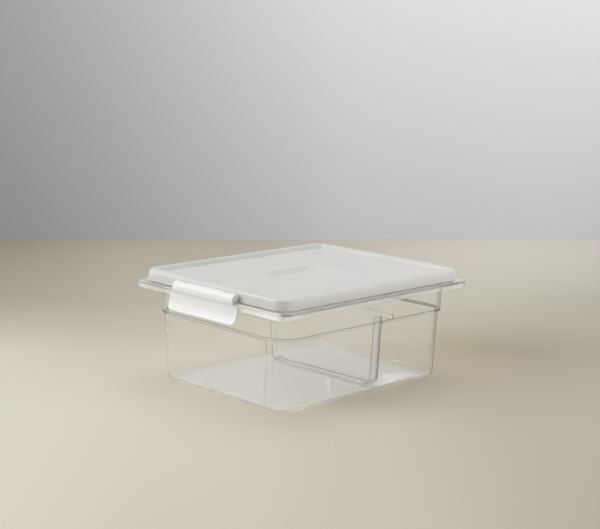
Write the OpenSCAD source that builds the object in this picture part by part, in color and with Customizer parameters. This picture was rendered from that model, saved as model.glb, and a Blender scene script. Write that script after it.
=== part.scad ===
// Lidded food pan: clear pan with a shouldered body, lift-off lid with a gasket,
// a snap latch on each short side and a sliding cross divider.
// Origin at the centre of the pan's underside. +Z is up, the long side runs along Y
// and the front latch faces -Y.

/* [Pan] */
// Overall width of the rim along X
rim_x = 265; // [258:1:272]
// Overall length of the rim along Y
rim_y = 325; // [318:1:332]
// Height of the rim's top face above the underside
pan_h = 125.6; // [122:0.1:130]
// Distance the rim stands out past the body wall
overhang = 15; // [13:0.5:17]
// Thickness of the walls
wall = 2.8; // [2.4:0.1:3.2]
// Thickness of the floor
floor_t = 3; // [2.5:0.1:4]
// Height of the shoulder where the lower walls step in
shoulder_z = 87; // [80:0.2:90]
// Depth of the step at the shoulder
shoulder_step = 3; // [2.6:0.1:4]
// Draft of the lower walls in degrees
draft = 3; // [2:0.25:4]
// Outer radius between the walls and the floor
base_r = 8; // [6:0.5:10]
// Depth of the rim's downturned lip, from the top face
lip_h = 7.6; // [6.6:0.2:9]
// Plan radius of the rim's corners
rim_r = 12; // [10:1:16]

/* [Lid] */
// How far the rim stands out past the lid on each side
lid_inset = 6; // [5.8:0.1:6.2]
// Gap between the rim's top face and the lid's lower edge
lid_gap = 1.2; // [1:0.1:1.8]
// Height of the lid from its lower edge to the top of its raised border
lid_h = 13.8; // [13.2:0.1:14.6]
// Width of the raised border
border_w = 13; // [12:0.5:14]
// Depth of the panel below the border
panel_drop = 5.8; // [5:0.1:6.2]
// Plan radius of the lid's corners
lid_r = 20; // [18:1:22]

/* [Grip] */
// Width of the grip recess along X
grip_x = 64; // [50:1:80]
// Length of the grip recess along Y
grip_y = 86; // [70:1:110]
// Plan radius of the recess's corners
grip_r = 14; // [10:1:20]
// Depth of the recess below the panel
grip_d = 5.8; // [4:0.1:6.2]

/* [Latch] */
// Width of each latch's plate along X
latch_w = 120; // [110:1:130]
// Width of the rounded hinge band along the latch's top
band_w = 107; // [98:1:108]
// Radius of the latch's lower corners
latch_r = 9; // [5:1:12]
// Length of the catch rail that hooks under the rim's lip
catch_l = 96; // [70:1:96]

/* [Divider] */
// Position of the divider along Y
divider_y = 40; // [-80:1:80]
// Height of the divider's top edge
divider_top = 95; // [94:0.5:110]
// Depth of the flange that is turned along the divider's sides and bottom
divider_foot = 16; // [12:1:20]
// Space between the divider's sides and the pan's walls
divider_gap = 14.5; // [4:0.5:16]

/* [Hidden] */

// Pan. Radii and wall lines are distances out from the body's corner axes.
body_r = 30;                                   // plan radius of the body at the shoulder
upper_flare = 0.75;                            // outward lean of the wall above the shoulder
top_r = body_r + upper_flare;
body_x = rim_x / 2 - overhang - top_r;         // corner axis of the body
body_y = rim_y / 2 - overhang - top_r;
rim_t = 3;
lip_z = pan_h - lip_h;                         // lower edge of the lip
ledge_z = shoulder_z + wall - 0.2;             // ledge inside the shoulder
ledge_r = body_r - wall + upper_flare * (ledge_z - shoulder_z) / (pan_h - shoulder_z);
outer_foot = body_r - shoulder_step - tan(draft) * shoulder_z;  // outer wall line at z = 0
inner_foot = outer_foot - wall / cos(draft);                    // inner wall line at z = 0
inner_r = base_r - wall;                       // inner radius between wall and floor
base_axis = outer_foot - base_r * (1 - sin(draft)) / cos(draft);
inner_axis = inner_foot + ((floor_t + inner_r) * sin(draft) - inner_r) / cos(draft);

// Lid
lid_z0 = pan_h + lid_gap;
lid_z1 = lid_z0 + lid_h;
panel_z = lid_z1 - panel_drop;                 // top of the panel
panel_t = 2.2;
panel_under = panel_z - panel_t;
lid_x = rim_x / 2 - lid_inset - lid_r;         // corner axis of the lid
lid_y = rim_y / 2 - lid_inset - lid_r;
channel_in = 11.2;                             // gasket channel, out from the lid's corner axis
channel_out = lid_r - 2.7;
channel_top = lid_z1 - 2.4;
grip_z = panel_z - grip_d;                     // top of the recess's floor

// Hinges
pin_r = 1.25;
hinge_y = rim_y / 2 - 1.3;                     // hinge axis, outward from the centre
hinge_z = pan_h + 7.2;
lug_r = 2.9;
lug_w = 10;
lug_x = 38;                                    // middle of each lug

// Latch
knuckle_r = 4.2;
latch_in = rim_y / 2 + 0.8;                    // inner face, outward from the centre
latch_z0 = lip_z - 16.6;
plate_z1 = lip_z + 6.4;                        // top of the latch's plate beyond the hinge band

// Divider
web_t = 2.2;
foot_r = 12;                                   // radius of the divider's lower corners
foot_z = floor_t + 0.15 + foot_r;              // axis of those corners
foot_x = body_x + inner_at(foot_z) - divider_gap - foot_r;

// Points on an arc of the given number of steps
function arc(x, y, radius, start, end, steps) = [
    for (i = [0:steps]) let (angle = start + (end - start) * i / steps)
        [x + radius * cos(angle), y + radius * sin(angle)]];

function shifted(points, x, y) = [for (point = points) point + [x, y]];

// Outer and inner faces of the lower wall at height z
function outer_at(z) = outer_foot + tan(draft) * z;
function inner_at(z) = inner_foot + tan(draft) * z;

// A flat rounded rectangle
module rounded(x, y, radius) {
    square([x - 2 * radius, y], center = true);
    square([x, y - 2 * radius], center = true);
    for (i = [-1, 1], j = [-1, 1])
        translate([i * (x / 2 - radius), j * (y / 2 - radius)]) circle(radius, $fn = 64);
}

// A flat rounded rectangle on the body's corner axes
module body_plan(radius) {
    rounded(2 * (body_x + radius), 2 * (body_y + radius), radius);
}

// Carries a profile around a rounded rectangle. The profile is drawn as distance
// out from the corner axis against height.
module around(axis_x, axis_y) {
    for (corner = [[axis_x, axis_y, 0], [-axis_x, axis_y, 90],
                   [-axis_x, -axis_y, 180], [axis_x, -axis_y, 270]])
        translate([corner[0], corner[1], 0]) rotate([0, 0, corner[2]])
            rotate_extrude(angle = 90, $fn = 64) children();
    for (turn = [0, 180]) rotate([0, 0, turn]) {
        translate([axis_x, axis_y, 0]) rotate([90, 0, 0])
            linear_extrude(2 * axis_y) children();
        rotate([0, 0, 90]) translate([axis_y, axis_x, 0]) rotate([90, 0, 0])
            linear_extrude(2 * axis_x) children();
    }
}

// Extrudes a profile along X, centred. The profile's x points to -Y and its y to +Z.
module along_x(length) {
    translate([length / 2, 0, 0]) rotate([90, 0, -90]) linear_extrude(length) children();
}

// Walls and the edge of the floor
module body_profile() {
    step_r = 1.2;    // both bends of the shoulder, outside
    ledge_bend = 0.8;    // both bends of the ledge, inside
    mouth_bend = 1;
    polygon(concat(
        [[0, 0]],
        arc(base_axis, base_r, base_r, -90, -draft, 7),
        arc(outer_at(shoulder_z - step_r) + step_r, shoulder_z - step_r, step_r, 180, 90, 3),
        arc(body_r - step_r, shoulder_z + step_r, step_r, -90, 0, 3),
        [[top_r, pan_h - 1], [top_r, pan_h]],
        arc(top_r - wall + mouth_bend, pan_h - mouth_bend, mouth_bend, 90, 180, 3),
        arc(ledge_r - ledge_bend, ledge_z + ledge_bend, ledge_bend, 0, -90, 3),
        arc(inner_at(ledge_z - ledge_bend) + ledge_bend, ledge_z - ledge_bend, ledge_bend,
            90, 180, 3),
        arc(inner_axis, floor_t + inner_r, inner_r, -draft, -90, 6),
        [[0, floor_t]]
    ));
}

// Rim edge with its downturned lip
module rim_profile() {
    lip_in = rim_r - rim_t;
    bend = 0.8;
    top_bend = 1.4;
    polygon(concat(
        [[0, pan_h - rim_t]],
        arc(lip_in - bend, pan_h - rim_t - bend, bend, 90, 0, 2),
        arc(lip_in + bend, lip_z + bend, bend, 180, 270, 3),
        arc(rim_r - bend, lip_z + bend, bend, -90, 0, 3),
        arc(rim_r - top_bend, pan_h - top_bend, top_bend, 0, 90, 4),
        [[0, pan_h]]
    ));
}

module pan() {
    color([0.86, 0.90, 0.91, 0.35]) {
        around(body_x, body_y) body_profile();
        linear_extrude(floor_t) square([2 * body_x, 2 * body_y], center = true);
        around(rim_x / 2 - rim_r, rim_y / 2 - rim_r) rim_profile();
        // flat of the rim, overlapping its edge and the wall
        translate([0, 0, pan_h - rim_t]) linear_extrude(rim_t) difference() {
            square([rim_x - 2 * rim_r + 1, rim_y - 2 * rim_r + 1], center = true);
            body_plan(top_r - 1.2);
        }
    }
}

// Section of the divider's turned flange. It is drawn as distance out from the corner
// axis against depth from the middle of the web.
flange_root = foot_r - 8;
flange_in = foot_r - 2.2;
flange_tip = divider_foot - web_t / 2;
flange_chamfer = 0.6;
flange_half = 1.08;                            // half thickness where it meets the web
flange = concat(
    [[flange_root, -flange_half]],
    arc(foot_r - 3, 3 - flange_half, 3, -90, 0, 5),
    [[foot_r, flange_tip - flange_chamfer], [foot_r - flange_chamfer, flange_tip],
     [flange_in + flange_chamfer, flange_tip], [flange_in, flange_tip - flange_chamfer]],
    arc(flange_in - 5, flange_half + 5, 5, 0, -90, 7),
    [[flange_root, flange_half]]);

// Flange up one side (1 for +X, -1 for -X), leaning outward with the pan's wall
module side_flange(side, height) {
    n = len(flange);
    // the upper ring of points comes first, then the lower ring
    upper = [for (p = flange) [side * (p[0] + tan(draft) * height), height, p[1]]];
    lower = [for (p = flange) [side * p[0], 0, p[1]]];
    // the winding is reversed on the -X side, to keep the faces outward
    quads = [for (i = [0:n - 1]) let (k = (i + 1) % n)
        side > 0 ? [i, n + i, n + k, k] : [k, n + k, n + i, i]];
    // the end faces start at the section's fifth point
    forward = [for (i = [0:n - 1]) (i + 4) % n];
    reverse = [for (i = [0:n - 1]) (n + 4 - i) % n];
    ends = side > 0
        ? [forward, [for (i = reverse) n + i]]
        : [reverse, [for (i = forward) n + i]];
    polyhedron(concat(upper, lower), concat(ends, quads));
}

// Drawn upright in its own frame: x across, y up and z towards the front
module divider() {
    ear_x = body_x + ledge_r - 1;
    strip_x = body_x + inner_at(ledge_z) - 5;  // strip below the ears
    strip_z = ledge_z - 1.6;
    ear_z = ledge_z + 0.1;
    chamfer = 0.6;
    web_r = 5;
    web_rise = ledge_z - 1 - foot_z;
    web_top_x = foot_x + web_r + tan(draft) * web_rise;
    color([0.86, 0.90, 0.91, 0.4]) translate([0, divider_y, 0]) rotate([90, 0, 0]) {
        // web
        translate([0, 0, -web_t / 2]) linear_extrude(web_t) polygon(concat(
            arc(foot_x, foot_z, web_r, -90, 0, 5),
            [[web_top_x, foot_z + web_rise], [-web_top_x, foot_z + web_rise]],
            arc(-foot_x, foot_z, web_r, 180, 270, 5)));
        // top strip, whose ends rest on the pan's ledge
        translate([0, 0, -web_t / 2]) linear_extrude(web_t) polygon([
            [-ear_x, ear_z], [-strip_x, ear_z], [-strip_x, strip_z],
            [strip_x, strip_z], [strip_x, ear_z], [ear_x, ear_z],
            [ear_x, divider_top - chamfer], [ear_x - chamfer, divider_top],
            [-ear_x + chamfer, divider_top], [-ear_x, divider_top - chamfer]]);
        // flange along the bottom, round the corners and up the sides
        translate([0, foot_z, 0]) along_x(2 * foot_x) polygon(flange);
        for (side = [-1, 1]) translate([side * foot_x, foot_z, 0]) {
            rotate([0, 0, side > 0 ? -90 : 180])
                rotate_extrude(angle = 90, $fn = 64) polygon(flange);
            side_flange(side, ledge_z + 0.5 - foot_z);
        }
    }
}

// Raised border, skirt and the channel that holds the gasket
module lid_profile() {
    border_in = lid_r - border_w;
    channel_wall = channel_in - 1.8;
    channel_foot = lid_z0 + 0.4;
    skirt_lean = 1.1;
    polygon(concat(
        [[0, panel_under], [channel_wall, panel_under],
         [channel_wall, channel_foot], [channel_in, channel_foot],
         [channel_in, channel_top - 0.8], [channel_in + 0.8, channel_top],
         [lid_r - 4.2, channel_top], [lid_r - 3.1, channel_top - 1], [channel_out, lid_z0]],
        arc(lid_r - 0.7, lid_z0 + 0.7, 0.7, -90, 0, 3),
        arc(lid_r - skirt_lean - 5, lid_z1 - 5, 5, 3, 90, 10),
        arc(border_in + 3.6, lid_z1 - 1.6, 1.6, 90, 150, 3),
        arc(border_in - 0.3, panel_z + 1.4, 1.4, -30, -90, 3),
        [[0, panel_z]]
    ));
}

// Two ears on the lid's front side that carry the hinge pin
module lugs() {
    lid_edge = rim_y / 2 - lid_inset;
    for (side = [-1, 1])
        translate([side * lug_x - lug_w / 2, -hinge_y, hinge_z]) rotate([0, 90, 0]) difference() {
            union() {
                cylinder(r = lug_r, h = lug_w, $fn = 48);
                translate([0.5, 0, 0]) cube([lug_r - 0.5, hinge_y - lid_edge + 1.6, lug_w]);
            }
            translate([0, 0, -1]) cylinder(r = pin_r + 0.02, h = lug_w + 2, $fn = 48);
        }
}

// Wall of the grip recess, drawn as distance out from its corner axis against height
module grip_profile() {
    grip_under = grip_z - panel_t;
    polygon(concat(
        [[0, grip_under]],
        arc(grip_r - 2.6, grip_under + 3, 3, -90, -25, 5),
        [[grip_r + 1.8, panel_under], [grip_r + 3, panel_under], [grip_r + 3, panel_z]],
        arc(grip_r + 1.6, panel_z - 2.2, 2.2, 90, 155, 5),
        arc(grip_r - 5.2, grip_z + 1.8, 1.8, -25, -90, 4),
        [[0, grip_z]]
    ));
}

module lid() {
    rib_r = top_r - wall - 1.3;
    rib_t = 2;
    grip_axis_x = grip_x / 2 - grip_r;
    grip_axis_y = grip_y / 2 - grip_r;
    hole_margin = 2.4;                         // panel's hole past the recess
    color([0.93, 0.94, 0.95, 0.8]) {
        around(lid_x, lid_y) lid_profile();
        // panel with the grip recess
        difference() {
            translate([0, 0, panel_under]) linear_extrude(panel_t)
                square([2 * lid_x, 2 * lid_y], center = true);
            translate([0, 0, panel_under - 1]) linear_extrude(5)
                rounded(grip_x + 2 * hole_margin, grip_y + 2 * hole_margin, grip_r + hole_margin);
        }
        around(grip_axis_x, grip_axis_y) grip_profile();
        translate([0, 0, grip_z - panel_t]) linear_extrude(panel_t)
            square([2 * grip_axis_x, 2 * grip_axis_y], center = true);
        // rib that locates the lid in the pan's mouth
        translate([0, 0, pan_h - 4.1]) linear_extrude(panel_under - pan_h + 4.6) difference() {
            body_plan(rib_r);
            body_plan(rib_r - rib_t);
        }
        for (turn = [0, 180]) rotate([0, 0, turn]) lugs();
    }
}

// Silicone ring: a broad foot that seals on the rim and a stem held in the lid's channel
module lid_gasket() {
    middle = (channel_in + channel_out) / 2;
    foot = (channel_out - channel_in) / 2 - 0.3;    // half widths
    stem = 1;
    bead_r = 1.4;
    foot_z0 = pan_h + 2.2;
    foot_z1 = pan_h + 4.6;
    stem_z0 = pan_h + 5.4;
    stem_z1 = lid_z1 - 3.6;
    color([0.95, 0.95, 0.93]) around(lid_x, lid_y) polygon(concat(
        arc(middle, pan_h + 0.05 + bead_r, bead_r, -150, -30, 5),
        [[middle + foot, foot_z0], [middle + foot, foot_z1],
         [middle + stem, stem_z0], [middle + stem, stem_z1],
         [middle - stem, stem_z1], [middle - stem, stem_z0],
         [middle - foot, foot_z1], [middle - foot, foot_z0]]
    ));
}

// Faces of the latch in side view: distance out from latch_in, height from lip_z
latch_inner = [[0, -4.3], [0.9, -5.4], [2.1, -8.4], [3.6, -11.6]];  // downward
latch_outer = [                                                     // upward
    [5.5, -12.0], [4.0, -8.4], [2.8, -4.6], [2.2, -1.4], [2.0, 1.4], [2.1, 3.6], [2.5, 5.1],
    [3.2, 6.3], [3.9, 8.0], [4.2, 10.2], [4.0, 12.3], [3.4, 14.4], [2.5, 16.2], [1.3, 17.6]];
// Catch rail in the same view
catch = [[1, -0.1], [-3.4, -0.1], [-3.4, -0.8], [-0.4, -4.0], [1, -4.4]];

// Side view of the latch, drawn as distance out from the centre against height
module latch_profile() {
    polygon(concat(
        arc(hinge_y, hinge_z, knuckle_r, 62, 250, 17),
        [[latch_in, pan_h + 1.2]],
        shifted(latch_inner, latch_in, lip_z),
        [[latch_in + 5.4, latch_z0 + 0.6]],
        arc(latch_in + 6.3, latch_z0 + 0.9, 0.9, -150, 20, 5),
        shifted(latch_outer, latch_in, lip_z)
    ));
}

// Front view of the plate, with its rounded corners
module plate_outline() {
    half = latch_w / 2;
    upper_r = 4;
    polygon(concat(
        arc(half - latch_r, latch_z0 + latch_r, latch_r, -90, 0, 10),
        arc(half - upper_r, plate_z1 - upper_r, upper_r, 0, 90, 6),
        arc(-half + upper_r, plate_z1 - upper_r, upper_r, 90, 180, 6),
        arc(-half + latch_r, latch_z0 + latch_r, latch_r, 180, 270, 10)
    ));
}

// Front view of the hinge band along the top
module band_outline() {
    half = band_w / 2;
    top = hinge_z + knuckle_r + 0.5;
    corner_r = 2.4;
    polygon(concat(
        [[-half, plate_z1 - 3], [half, plate_z1 - 3]],
        arc(half - corner_r, top - corner_r, corner_r, 0, 90, 5),
        arc(-half + corner_r, top - corner_r, corner_r, 90, 180, 5)
    ));
}

module latch_body() {
    front = latch_in + 9;                      // clear of the latch's outer face
    depth = 20;
    play = 0.25;                               // around each ear
    pocket_w = lug_w + 2 * play;
    difference() {
        union() {
            intersection() {
                along_x(latch_w) latch_profile();
                translate([0, depth - front, 0]) rotate([90, 0, 0]) linear_extrude(depth) {
                    plate_outline();
                    band_outline();
                }
            }
            along_x(catch_l) polygon(shifted(catch, latch_in, lip_z));
        }
        // bore for the hinge pin, closed at the +X end
        translate([-band_w / 2 - 1, -hinge_y, hinge_z]) rotate([0, 90, 0])
            cylinder(r = pin_r + 0.05, h = band_w - 1, $fn = 48);
        // pockets that the lid's ears turn in
        for (side = [-1, 1]) translate([side * lug_x - pocket_w / 2, -hinge_y, hinge_z]) {
            rotate([0, 90, 0]) cylinder(r = lug_r + play, h = pocket_w, $fn = 48);
            rotate([90, 0, 90]) linear_extrude(pocket_w)
                polygon(concat([[0, 0]], arc(0, 0, 9, 104, -75, 9)));
        }
    }
}

module latch_front() { color([0.97, 0.97, 0.97]) latch_body(); }
module latch_rear() { color([0.97, 0.97, 0.97]) rotate([0, 0, 180]) latch_body(); }

module pin_body() {
    translate([-band_w / 2 + 2.5, -hinge_y, hinge_z]) rotate([0, 90, 0])
        cylinder(r = pin_r, h = band_w - 5.5, $fn = 48);
}

module hinge_pin_front() { color([0.75, 0.76, 0.78]) pin_body(); }
module hinge_pin_rear() { color([0.75, 0.76, 0.78]) rotate([0, 0, 180]) pin_body(); }

pan();
divider();
lid();
lid_gasket();
latch_front();
latch_rear();
hinge_pin_front();
hinge_pin_rear();
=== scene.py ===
import bpy, math
from mathutils import Matrix, Vector

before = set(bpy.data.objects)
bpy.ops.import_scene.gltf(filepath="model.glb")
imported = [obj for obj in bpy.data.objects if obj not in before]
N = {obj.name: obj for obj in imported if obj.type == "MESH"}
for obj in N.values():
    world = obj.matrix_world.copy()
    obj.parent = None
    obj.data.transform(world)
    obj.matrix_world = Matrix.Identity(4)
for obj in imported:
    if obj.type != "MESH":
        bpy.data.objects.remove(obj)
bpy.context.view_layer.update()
scene = bpy.context.scene


# ---------------------------------------------------------------- node helpers
def new_mat(name):
    m = bpy.data.materials.new(name)
    m.use_nodes = True
    nt = m.node_tree
    nt.nodes.clear()
    out = nt.nodes.new("ShaderNodeOutputMaterial")
    return m, nt, out


def node(nt, kind, **kw):
    n = nt.nodes.new(kind)
    for k, v in kw.items():
        if k.startswith("in_"):
            key = k[3:].replace("_", " ")
            n.inputs[int(key) if key.isdigit() else key].default_value = v
        else:
            setattr(n, k, v)
    return n


def link(nt, a, ao, b, bi):
    nt.links.new(a.outputs[ao], b.inputs[bi])


def coords(nt, scale=(1, 1, 1), rot=(0, 0, 0)):
    tc = node(nt, "ShaderNodeTexCoord")
    mp = node(nt, "ShaderNodeMapping")
    mp.inputs["Scale"].default_value = scale
    mp.inputs["Rotation"].default_value = rot
    link(nt, tc, "Object", mp, "Vector")
    return mp


def noise(nt, vec, scale, detail=3.0, rough=0.55, dist=0.0):
    n = node(nt, "ShaderNodeTexNoise")
    n.inputs["Scale"].default_value = scale
    n.inputs["Detail"].default_value = detail
    n.inputs["Roughness"].default_value = rough
    n.inputs["Distortion"].default_value = dist
    link(nt, vec, "Vector", n, "Vector")
    return n


def ramp(nt, src, so, stops):
    r = node(nt, "ShaderNodeValToRGB")
    e = r.color_ramp.elements
    while len(e) > 1:
        e.remove(e[-1])
    e[0].position = stops[0][0]
    for i, (p, c) in enumerate(stops):
        el = e[0] if i == 0 else e.new(p)
        el.color = (c, c, c, 1) if not isinstance(c, (tuple, list)) else (*c, 1)
    link(nt, src, so, r, "Fac")
    return r


def remap(nt, src, so, a, b, c, d):
    r = node(nt, "ShaderNodeMapRange")
    r.inputs["From Min"].default_value = a
    r.inputs["From Max"].default_value = b
    r.inputs["To Min"].default_value = c
    r.inputs["To Max"].default_value = d
    link(nt, src, so, r, "Value")
    return r


def math_node(nt, op, a, b=None, clamp=False):
    m = node(nt, "ShaderNodeMath", operation=op, use_clamp=clamp)
    for i, v in enumerate((a, b)):
        if v is None:
            continue
        if isinstance(v, (int, float)):
            m.inputs[i].default_value = v
        else:
            nt.links.new(v[0].outputs[v[1]], m.inputs[i])
    return m


# ---------------------------------------------------------------- view
F_PX, W, H = 1384.0, 600, 529
AZ, PITCH, ROLL = math.radians(45.335), math.radians(10.492), math.radians(1.166)
CAM = Vector((1.2026, -1.1955, 0.4589))
fwd = Vector((-math.sin(AZ) * math.cos(PITCH), math.cos(AZ) * math.cos(PITCH), -math.sin(PITCH)))
rt0 = Vector((math.cos(AZ), math.sin(AZ), 0))
up0 = rt0.cross(fwd)
rt = rt0 * math.cos(ROLL) + up0 * math.sin(ROLL)
up = up0 * math.cos(ROLL) - rt0 * math.sin(ROLL)


# ---------------------------------------------------------------- materials
def edge_normal(nt, radius):
    """Normal that softens sharp moulded edges."""
    b = node(nt, "ShaderNodeBevel", samples=6)
    b.inputs["Radius"].default_value = radius
    return b


def bump(nt, src, so, strength, distance, base=None):
    b = node(nt, "ShaderNodeBump")
    b.inputs["Strength"].default_value = strength
    b.inputs["Distance"].default_value = distance
    link(nt, src, so, b, "Height")
    if base is not None:
        link(nt, base, "Normal", b, "Normal")
    return b


def hairlines(nt, scale, rot, lo, hi):
    """Fine straight scuffs, 0 where clean and 1 in a scratch."""
    n = noise(nt, coords(nt, scale, rot), 1.6, 2.0, 0.5)
    return remap_clamp(nt, n, "Fac", lo, hi, 0.0, 1.0)


def remap_clamp(nt, src, so, a, b, c, d):
    r = remap(nt, src, so, a, b, c, d)
    r.clamp = True
    return r


def shadow_through(nt, shader, out, colour):
    """Lamps shine through the plastic with the given tint."""
    lp = node(nt, "ShaderNodeLightPath")
    tr = node(nt, "ShaderNodeBsdfTransparent")
    tr.inputs["Color"].default_value = (*colour, 1)
    mix = node(nt, "ShaderNodeMixShader")
    link(nt, lp, "Is Shadow Ray", mix, 0)
    link(nt, shader, 0, mix, 1)
    link(nt, tr, 0, mix, 2)
    link(nt, mix, 0, out, "Surface")


def vdot(nt, vec, const):
    d = node(nt, "ShaderNodeVectorMath", operation="DOT_PRODUCT")
    nt.links.new(vec, d.inputs[0])
    d.inputs[1].default_value = const
    return d


def mix_shader(nt, fac, a, b):
    m = node(nt, "ShaderNodeMixShader")
    if isinstance(fac, (int, float)):
        m.inputs[0].default_value = fac
    else:
        nt.links.new(fac[0].outputs[fac[1]], m.inputs[0])
    link(nt, a, 0, m, 1)
    link(nt, b, 0, m, 2)
    return m


def node_z(nt, geo):
    sz = node(nt, "ShaderNodeSeparateXYZ")
    link(nt, geo, "Normal", sz, 0)
    return sz


def clear_plastic(name, tint, let_through, haze=0.03, rim=0.0, far_edge=(0.125, 0.155)):
    m, nt, out = new_mat(name)
    v = coords(nt)
    p = node(nt, "ShaderNodeBsdfPrincipled")
    p.inputs["IOR"].default_value = 1.56
    p.inputs["Transmission Weight"].default_value = 1.0
    # colour: very slight cloudiness in the sheet
    big = noise(nt, v, 9.0, 2.0)
    col = ramp(nt, big, "Fac", [(0.3, tuple(c * 0.985 for c in tint)), (0.7, tint)])
    link(nt, col, "Color", p, "Base Color")
    # roughness: polished, with smudges, hairline scuffs and a few dust specks
    smudge = noise(nt, v, 26.0, 4.0, 0.6)
    s1 = remap_clamp(nt, smudge, "Fac", 0.40, 0.75, 0.004, 0.03)
    h1 = hairlines(nt, (40, 900, 900), (0.2, 0.1, 0.6), 0.67, 0.73)
    h2 = hairlines(nt, (800, 30, 800), (0.5, 0.3, -0.3), 0.68, 0.74)
    hs = math_node(nt, "MAXIMUM", (h1, "Result"), (h2, "Result"))
    hr = math_node(nt, "MULTIPLY", (hs, 0), 0.07)
    r = math_node(nt, "ADD", (s1, "Result"), (hr, 0), clamp=True)
    sep = node(nt, "ShaderNodeSeparateXYZ")
    tc = node(nt, "ShaderNodeTexCoord")
    link(nt, tc, "Object", sep, 0)
    floor_part = remap_clamp(nt, sep, "Z", 0.0034, 0.0050, 1.0 if rim > 0 else 0.0, 0.0)
    r = math_node(nt, "MULTIPLY", (r, 0), (remap(nt, floor_part, "Result", 0.0, 1.0, 1.0, 0.3), "Result"))
    link(nt, r, 0, p, "Roughness")
    # bump: moulding waviness and the scuffs
    wav = noise(nt, v, 14.0, 1.0, 0.4)
    b1 = bump(nt, wav, "Fac", 0.03, 0.0010)
    b2 = bump(nt, hs, 0, 0.02, 0.0001, b1)
    link(nt, remap(nt, floor_part, "Result", 0.0, 1.0, 0.03, 0.01), "Result", b1, "Strength")
    link(nt, b2, "Normal", p, "Normal")
    # a trace of haze, most where the sheet is scuffed, and the rim's edge glows
    df = node(nt, "ShaderNodeBsdfDiffuse")
    df.inputs["Color"].default_value = (0.93, 0.93, 0.90, 1)
    tl = node(nt, "ShaderNodeBsdfTranslucent")
    tl.inputs["Color"].default_value = (0.95, 0.95, 0.92, 1)
    milk = mix_shader(nt, 0.5, df, tl)
    specks = noise(nt, v, 1400.0, 2.0, 0.5)
    dust = remap_clamp(nt, specks, "Fac", 0.72, 0.76, 0.0, 0.25)
    f = math_node(nt, "ADD", (dust, "Result"), haze)
    f = math_node(nt, "ADD", (f, 0), (math_node(nt, "MULTIPLY", (hs, 0), 0.05), 0))
    if rim > 0:
        ax = math_node(nt, "SUBTRACT", (math_node(nt, "ABSOLUTE", (sep, "X")), 0), 0.1295)
        ay = math_node(nt, "SUBTRACT", (math_node(nt, "ABSOLUTE", (sep, "Y")), 0), 0.1595)
        mx = math_node(nt, "MAXIMUM", (ax, 0), (ay, 0))
        edge = remap_clamp(nt, mx, 0, -0.003, 0.001, 0.0, 1.0)
        zz = remap_clamp(nt, sep, "Z", 0.110, 0.1175, 0.0, 1.0)
        e = math_node(nt, "MULTIPLY", (edge, "Result"), (zz, "Result"))
        f = math_node(nt, "ADD", (f, 0), (math_node(nt, "MULTIPLY", (e, 0), rim), 0), clamp=True)
        # painted highlight: extra milk along the front lip's edge, strongest towards the near corner, stands in for
        # the key lamp's highlight on it
        lit = math_node(nt, "SUBTRACT", 0.0, (sep, "Y"))
        lit = remap_clamp(nt, lit, 0, 0.1590, 0.1612, 0.0, 0.5)
        lit = math_node(nt, "MULTIPLY", (lit, "Result"), (zz, "Result"))
        lit = math_node(nt, "MULTIPLY", (lit, 0), (remap_clamp(nt, sep, "X", -0.09, 0.06, 0.2, 1.0), "Result"))
        f = math_node(nt, "ADD", (f, 0), (lit, 0), clamp=True)
        # the base gets a little more milk than the walls, and a greyer one
        f = math_node(nt, "ADD", (f, 0), (math_node(nt, "MULTIPLY", (floor_part, "Result"), 0.10), 0), clamp=True)
        grey = ramp(nt, floor_part, "Result", [(0.0, (0.93, 0.93, 0.90)), (1.0, (0.78, 0.78, 0.82))])
        link(nt, grey, "Color", df, "Color")
        link(nt, grey, "Color", tl, "Color")
    mixed = mix_shader(nt, (f, 0), p, milk)
    # painted dark reflection: seen edge-on at the far side, the thick corner is painted dark where it would gather
    # the dark side of the room
    geo = node(nt, "ShaderNodeNewGeometry")
    dp = node(nt, "ShaderNodeVectorMath", operation="DOT_PRODUCT")
    link(nt, geo, "Normal", dp, 0)
    link(nt, geo, "Incoming", dp, 1)
    thin = remap_clamp(nt, math_node(nt, "ABSOLUTE", (dp, "Value")), 0, 0.10, 0.42, 1.0, 0.0)
    far = remap_clamp(nt, vdot(nt, tc.outputs["Object"], tuple(rt0)), "Value", far_edge[0], far_edge[1], 0.10, 0.62)
    level = remap_clamp(nt, math_node(nt, "ABSOLUTE", (node_z(nt, geo), "Z")), 0, 0.25, 0.5, 1.0, 0.0)
    dark = math_node(nt, "MULTIPLY", (math_node(nt, "MULTIPLY", (thin, "Result"), (far, "Result")), 0), (level, "Result"))
    if rim > 0:
        # the step at the shoulder and the round under the base get the same painted dark edge
        flat = math_node(nt, "SUBTRACT", 1.0, (level, "Result"))
        above = remap_clamp(nt, sep, "Z", 0.0835, 0.0845, 0.0, 1.0)
        below = remap_clamp(nt, sep, "Z", 0.0905, 0.0915, 1.0, 0.0)
        step = math_node(nt, "MULTIPLY", (math_node(nt, "MULTIPLY", (above, "Result"), (below, "Result")), 0), (flat, 0))
        side_far = remap_clamp(nt, vdot(nt, tc.outputs["Object"], tuple(rt0)), "Value", -0.12, 0.15, 0.16, 0.5)
        step = math_node(nt, "MULTIPLY", (step, 0), (side_far, "Result"))
        low = remap_clamp(nt, sep, "Z", 0.0015, 0.0060, 1.0, 0.0)
        thinner = remap_clamp(nt, math_node(nt, "ABSOLUTE", (dp, "Value")), 0, 0.02, 0.13, 0.45, 0.0)
        foot = math_node(nt, "MULTIPLY", (low, "Result"), (thinner, "Result"))
        dark = math_node(nt, "MAXIMUM", (dark, 0), (math_node(nt, "MAXIMUM", (step, 0), (foot, 0)), 0))
    # dark matt shader, painted over those edges as their dark reflection
    shade = node(nt, "ShaderNodeBsdfDiffuse")
    shade.inputs["Color"].default_value = (0.13, 0.13, 0.12, 1)
    mixed = mix_shader(nt, (dark, 0), mixed, shade)
    shadow_through(nt, mixed, out, let_through)
    return m


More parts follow.
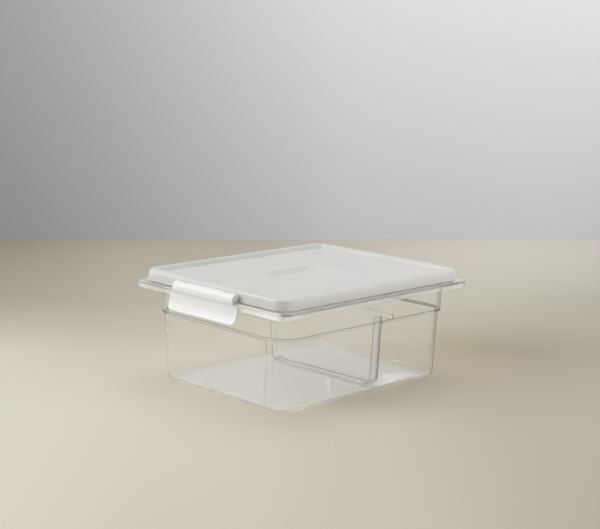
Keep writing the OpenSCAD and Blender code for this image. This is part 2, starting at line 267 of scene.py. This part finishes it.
def frosted(name):
    m, nt, out = new_mat(name)
    v = coords(nt)
    en = edge_normal(nt, 0.0012)
    p = node(nt, "ShaderNodeBsdfPrincipled")
    cloud = noise(nt, v, 11.0, 3.0)
    col = ramp(nt, cloud, "Fac", [(0.3, LID_LO), (0.7, LID_HI)])
    link(nt, col, "Color", p, "Base Color")
    grain = noise(nt, v, 2600.0, 2.0, 0.6)
    smudge = noise(nt, v, 22.0, 4.0, 0.6)
    s1 = remap(nt, smudge, "Fac", 0.3, 0.75, 0.29, 0.36)
    s2 = remap(nt, grain, "Fac", 0.3, 0.7, -0.03, 0.03)
    h1 = hairlines(nt, (700, 26, 700), (0.0, 0.0, 0.5), 0.66, 0.72)
    hh = math_node(nt, "MULTIPLY", (h1, "Result"), 0.04)
    r = math_node(nt, "ADD", (s1, "Result"), (s2, "Result"))
    r = math_node(nt, "ADD", (r, 0), (hh, 0), clamp=True)
    link(nt, r, 0, p, "Roughness")
    p.inputs["IOR"].default_value = 1.5
    p.inputs["Subsurface Weight"].default_value = 0.25
    p.inputs["Subsurface Radius"].default_value = (0.004, 0.004, 0.004)
    p.inputs["Subsurface Scale"].default_value = 1.0
    b1 = bump(nt, grain, "Fac", 0.12, 0.00012, en)
    wav = noise(nt, v, 10.0, 1.0, 0.4)
    b2 = bump(nt, wav, "Fac", 0.03, 0.0008, b1)
    b3 = bump(nt, h1, "Result", 0.04, 0.00005, b2)
    link(nt, b3, "Normal", p, "Normal")
    tl = node(nt, "ShaderNodeBsdfTranslucent")
    tl.inputs["Color"].default_value = (0.90, 0.91, 0.91, 1)
    mx = mix_shader(nt, 0.20, p, tl)
    shadow_through(nt, mx, out, (0.86, 0.865, 0.865))
    return m


def white_plastic(name):
    m, nt, out = new_mat(name)
    v = coords(nt)
    en = edge_normal(nt, 0.0007)
    p = node(nt, "ShaderNodeBsdfPrincipled")
    cloud = noise(nt, v, 30.0, 3.0)
    col = ramp(nt, cloud, "Fac", [(0.3, LATCH_LO), (0.7, LATCH_HI)])
    link(nt, col, "Color", p, "Base Color")
    grain = noise(nt, v, 3500.0, 2.0, 0.6)
    smudge = noise(nt, v, 60.0, 4.0, 0.6)
    h1 = hairlines(nt, (50, 900, 900), (0.1, 0.4, 0.2), 0.66, 0.72)
    s1 = remap(nt, smudge, "Fac", 0.3, 0.75, 0.27, 0.35)
    r = math_node(nt, "ADD", (s1, "Result"), (math_node(nt, "MULTIPLY", (h1, "Result"), 0.06), 0), clamp=True)
    link(nt, r, 0, p, "Roughness")
    p.inputs["IOR"].default_value = 1.49
    p.inputs["Subsurface Weight"].default_value = 0.15
    p.inputs["Subsurface Radius"].default_value = (0.0016, 0.0016, 0.0015)
    p.inputs["Subsurface Scale"].default_value = 1.0
    b1 = bump(nt, grain, "Fac", 0.10, 0.0001, en)
    sink = noise(nt, v, 45.0, 1.0, 0.4)
    b2 = bump(nt, sink, "Fac", 0.03, 0.0004, b1)
    b3 = bump(nt, h1, "Result", 0.05, 0.00005, b2)
    link(nt, b3, "Normal", p, "Normal")
    link(nt, p, 0, out, "Surface")
    return m


def silicone(name):
    m, nt, out = new_mat(name)
    v = coords(nt)
    p = node(nt, "ShaderNodeBsdfPrincipled")
    cloud = noise(nt, v, 40.0, 3.0)
    # the ring's dark grey is partly its own colour and partly painted shade, darkening the gap line under the lid
    col = ramp(nt, cloud, "Fac", [(0.3, (0.17, 0.175, 0.17)), (0.7, (0.24, 0.24, 0.235))])
    link(nt, col, "Color", p, "Base Color")
    sm = noise(nt, v, 120.0, 3.0)
    s1 = remap(nt, sm, "Fac", 0.3, 0.7, 0.45, 0.62)
    link(nt, s1, "Result", p, "Roughness")
    b1 = bump(nt, sm, "Fac", 0.15, 0.0001, edge_normal(nt, 0.0005))
    link(nt, b1, "Normal", p, "Normal")
    link(nt, p, 0, out, "Surface")
    return m


def steel(name):
    m, nt, out = new_mat(name)
    v = coords(nt, (30, 4000, 4000))
    p = node(nt, "ShaderNodeBsdfPrincipled")
    p.inputs["Metallic"].default_value = 1.0
    g = noise(nt, v, 1.0, 3.0)
    col = ramp(nt, g, "Fac", [(0.3, (0.56, 0.57, 0.58)), (0.7, (0.70, 0.71, 0.72))])
    link(nt, col, "Color", p, "Base Color")
    s1 = remap(nt, g, "Fac", 0.3, 0.7, 0.18, 0.36)
    link(nt, s1, "Result", p, "Roughness")
    b1 = bump(nt, g, "Fac", 0.15, 0.00005)
    link(nt, b1, "Normal", p, "Normal")
    link(nt, p, 0, out, "Surface")
    return m


LID_LO, LID_HI = (0.568, 0.569, 0.548), (0.596, 0.596, 0.576)
LATCH_LO, LATCH_HI = (0.69, 0.695, 0.70), (0.715, 0.72, 0.73)
MATS = {
    "pan": clear_plastic("pan_clear_look", (0.992, 0.993, 0.99), (0.984, 0.984, 0.984), 0.022, 0.17),
    "divider": clear_plastic("divider_clear_look", (0.985, 0.987, 0.985), (0.98, 0.98, 0.982), 0.05, 0.0, (0.086, 0.093)),
    "lid": frosted("lid_frosted_look"),
    "lid_gasket": silicone("gasket_silicone_look"),
    "latch_front": white_plastic("latch_white_look"),
    "hinge_pin_front": steel("pin_steel_look"),
}
MATS["latch_rear"] = MATS["latch_front"]
MATS["hinge_pin_rear"] = MATS["hinge_pin_front"]
for n, o in N.items():
    for s in o.material_slots:
        s.material = MATS[n]

# ---------------------------------------------------------------- camera
cd = bpy.data.cameras.new("camera")
cam = bpy.data.objects.new("camera", cd)
scene.collection.objects.link(cam)
cd.sensor_fit = "HORIZONTAL"
cd.sensor_width = 36.0
cd.lens = F_PX * 36.0 / W
cd.clip_start, cd.clip_end = 0.01, 50
m = Matrix.Identity(4)
for i in range(3):
    m[i][0], m[i][1], m[i][2], m[i][3] = rt[i], up[i], -fwd[i], CAM[i]
cam.matrix_world = m
scene.camera = cam


def ray_floor(px, py, z=0.0):
    d = fwd + rt * ((px - W / 2) / F_PX) - up * ((py - H / 2) / F_PX)
    t = (z - CAM.z) / d.z
    return CAM + d * t


# ---------------------------------------------------------------- stage
def linear(c):
    c = c / 255.0
    return c / 12.92 if c <= 0.04045 else ((c + 0.055) / 1.055) ** 2.4


def stage_mat(name, rows, gain, glow, x_range=(-200.0, 800.0)):
    """A matt paper whose tone drifts slowly, as the studio light falls off across it.
    rows: for each height in the picture, the tones from left to right."""
    m, nt, out = new_mat(name)
    tc = node(nt, "ShaderNodeTexCoord")
    sub = node(nt, "ShaderNodeVectorMath", operation="SUBTRACT")
    link(nt, tc, "Object", sub, 0)
    sub.inputs[1].default_value = CAM
    depth = math_node(nt, "MAXIMUM", (vdot(nt, sub.outputs[0], fwd), "Value"), 0.15)
    a = math_node(nt, "DIVIDE", (vdot(nt, sub.outputs[0], rt), "Value"), (depth, 0))
    b = math_node(nt, "DIVIDE", (vdot(nt, sub.outputs[0], up), "Value"), (depth, 0))
    px = math_node(nt, "ADD", (math_node(nt, "MULTIPLY", (a, 0), F_PX), 0), W / 2)
    py = math_node(nt, "SUBTRACT", H / 2, (math_node(nt, "MULTIPLY", (b, 0), F_PX), 0))
    u = remap_clamp(nt, px, 0, x_range[0], x_range[1], 0.0, 1.0)
    prev, prev_y = None, None
    for y, tones in rows:
        stops = [((x - x_range[0]) / (x_range[1] - x_range[0]), tuple(linear(c) * gain for c in t)) for x, t in tones]
        cr = ramp(nt, u, "Result", stops)
        cr.color_ramp.interpolation = "CARDINAL" if len(stops) > 2 else "LINEAR"
        if prev is None:
            prev, prev_y = cr.outputs["Color"], y
            continue
        f = remap_clamp(nt, py, 0, prev_y, y, 0.0, 1.0)
        mx = node(nt, "ShaderNodeMix", data_type="RGBA")
        link(nt, f, "Result", mx, 0)
        nt.links.new(prev, mx.inputs[6])
        nt.links.new(cr.outputs["Color"], mx.inputs[7])
        prev, prev_y = mx.outputs[2], y
    if glow:
        # seen from behind the paper is clear, so that the object's back can be looked at
        e = node(nt, "ShaderNodeEmission")
        nt.links.new(prev, e.inputs["Color"])
        geo = node(nt, "ShaderNodeNewGeometry")
        link(nt, mix_shader(nt, (geo, "Backfacing"), e, node(nt, "ShaderNodeBsdfTransparent")), 0, out, "Surface")
        return m
    p = node(nt, "ShaderNodeBsdfPrincipled")
    nt.links.new(prev, p.inputs["Base Color"])
    p.inputs["Roughness"].default_value = 0.8
    p.inputs["Specular IOR Level"].default_value = 0.2
    link(nt, p, 0, out, "Surface")
    return m


def plane(name, corners, mat):
    me = bpy.data.meshes.new(name)
    me.from_pydata([tuple(c) for c in corners], [], [tuple(range(len(corners)))])
    me.materials.append(mat)
    ob = bpy.data.objects.new(name, me)
    scene.collection.objects.link(ob)
    return ob


FZ = -0.0005
SA, SB = ray_floor(0, 240, FZ), ray_floor(600, 240, FZ)
along = (SB - SA).normalized()
inward = Vector((along.y, -along.x, 0))
if inward.dot(CAM - SA) < 0:
    inward = -inward
mid = (SA + SB) / 2
L = 6.0
# floor tones are painted light and shade: besides the slow falloff, the darker dip from x 460 rightwards in rows 350
# and 400 is a painted shadow of the object cast to the right
FLOOR = [
    (240, [(0, (156, 148, 132)), (120, (176, 170, 152)), (280, (186, 180, 166)), (460, (212, 206, 192)), (600, (216, 210, 198))]),
    (300, [(0, (160, 152, 136)), (120, (170, 164, 148)), (280, (180, 174, 160)), (460, (184, 180, 166)), (600, (174, 170, 156))]),
    (350, [(0, (192, 186, 170)), (120, (186, 180, 166)), (280, (190, 184, 168)), (460, (164, 154, 134)), (600, (160, 152, 138))]),
    (400, [(0, (194, 190, 176)), (120, (194, 188, 174)), (280, (188, 182, 166)), (460, (174, 166, 148)), (600, (166, 158, 144))]),
    (529, [(0, (198, 192, 180)), (120, (192, 186, 172)), (280, (188, 182, 166)), (460, (178, 172, 156)), (600, (164, 158, 142))]),
]
# past the picture's right edge the backdrop is painted dark, so the clear plastic shows painted dark reflections on
# its right edges
WALL = [
    (0, [(0, (163, 163, 163)), (300, (212, 212, 212)), (600, (227, 227, 227))]),
    (240, [(0, (139, 139, 139)), (300, (181, 181, 181)), (450, (191, 191, 191)), (600, (190, 190, 190)), (630, (170, 170, 170)), (690, (70, 70, 70))]),
]
FLOOR_GAIN = 1.0
floor_mat = stage_mat("floor_look", FLOOR, FLOOR_GAIN, False)
wall_mat = stage_mat("wall_look", WALL, 1.0, True)
off = mid - inward * 0.0
plane("floor", [p + Vector((0, 0, FZ - p.z)) for p in (mid - along * L, mid + along * L, mid + along * L + inward * 8, mid - along * L + inward * 8)], floor_mat)
sheet = [mid - along * L, mid + along * L, mid + along * L + Vector((0, 0, 5)), mid - along * L + Vector((0, 0, 5))]
if along.cross(Vector((0, 0, 1))).dot(inward) < 0:
    sheet.reverse()
plane("backdrop", sheet, wall_mat)

# ---------------------------------------------------------------- light
toward = Vector((math.sin(AZ), -math.cos(AZ), 0))    # from the object towards the camera, level
left = -rt0

world = bpy.data.worlds.new("world")
scene.world = world
world.use_nodes = True
wt = world.node_tree
bg = wt.nodes["Background"]
wtc = node(wt, "ShaderNodeTexCoord")
side = vdot(wt, wtc.outputs["Generated"], left)
sr = remap_clamp(wt, side, "Value", -1.0, 1.0, 0.0, 1.0)
sky = ramp(wt, sr, "Result", [(0.0, (0.05, 0.05, 0.05)), (0.2, (0.16, 0.16, 0.17)), (0.34, (0.45, 0.46, 0.47)), (0.5, (0.62, 0.63, 0.65)), (1.0, (0.92, 0.94, 0.96))])
link(wt, sky, "Color", bg, "Color")
bg.inputs[1].default_value = 0.85


def area(name, loc, target, size, power, col=(1, 1, 1), size_y=None):
    ld = bpy.data.lights.new(name, "AREA")
    ld.shape = "RECTANGLE" if size_y else "SQUARE"
    ld.size = size
    if size_y:
        ld.size_y = size_y
    ld.energy = power
    ld.color = col
    ob = bpy.data.objects.new(name, ld)
    scene.collection.objects.link(ob)
    ob.location = loc
    ob.rotation_euler = (Vector(target) - Vector(loc)).to_track_quat("-Z", "Y").to_euler()
    return ob


area("key", tuple(left * 1.5 + toward * 0.35 + Vector((0, 0, 0.98))), (0, 0, 0.08), 0.9, 17.5, (1.0, 0.99, 0.97), 0.7)
fill = area("fill", tuple(rt0 * 1.3 + toward * 0.55 + Vector((0, 0, 0.38))), (0, 0, 0.1), 1.0, 15, (1.0, 0.99, 0.975))
fill.visible_glossy = False
fill.visible_transmission = False
area("top", tuple(Vector((0, 0, 1.9)) - toward * 0.3), (0, 0, 0), 1.6, 15, (0.97, 0.985, 1.0))

scene.view_settings.view_transform = "Standard"
scene.cycles.transparent_max_bounces = 24
